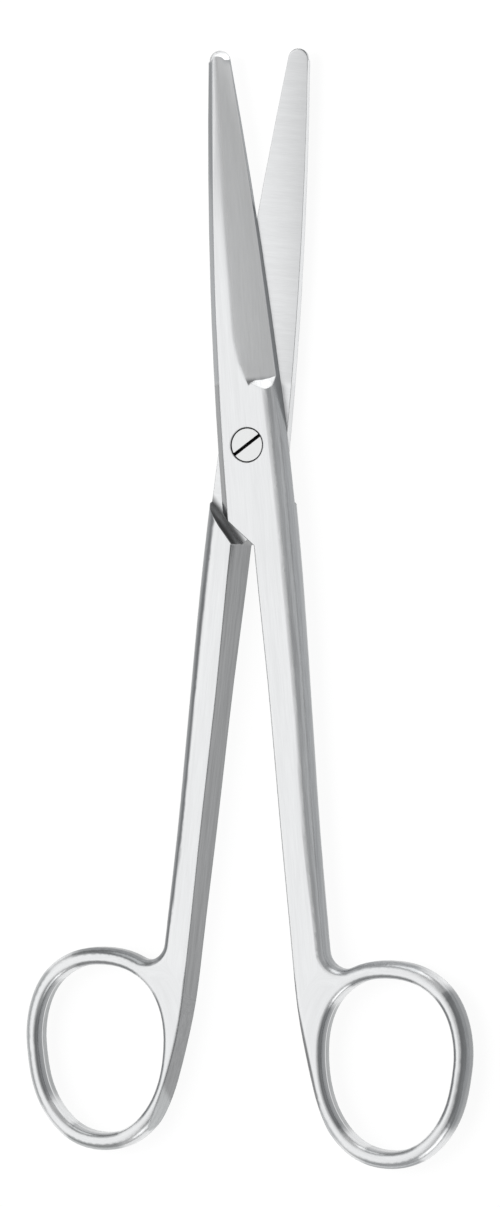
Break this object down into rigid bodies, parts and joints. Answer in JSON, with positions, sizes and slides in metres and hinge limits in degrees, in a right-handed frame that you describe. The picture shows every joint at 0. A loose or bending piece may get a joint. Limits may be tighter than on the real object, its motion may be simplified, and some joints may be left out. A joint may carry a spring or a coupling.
{
  "type": "dissecting scissors",
  "caption": "Straight dissecting scissors with beveled round-ended blades, a slotted pivot screw, long rounded shanks and oval finger rings.",
  "frame": {"origin": "on the pivot axis, on the back face at the joint that the scissors lie on", "axes": "+Y towards the blade tips along the line that halves the opening, +X to the right of the front face, +Z out of the front face"},
  "size_m": [0.0814, 0.1874, 0.0062],
  "materials": {
    "forging_steel": "satin",
    "screw_steel": "satin, turned"
  },
  "bodies": {
    "rear_half": {"rear_half": "forging_steel", "pivot_screw": "screw_steel"},
    "front_half": {"front_half": "forging_steel"}
  },
  "joints": [
    {"name": "pivot", "type": "hinge", "parent": "rear_half", "child": "front_half", "pos_m": [0, 0, 0.0031], "axis": [0, 0, 1], "range_deg": [-12.4, 85]}
  ]
}
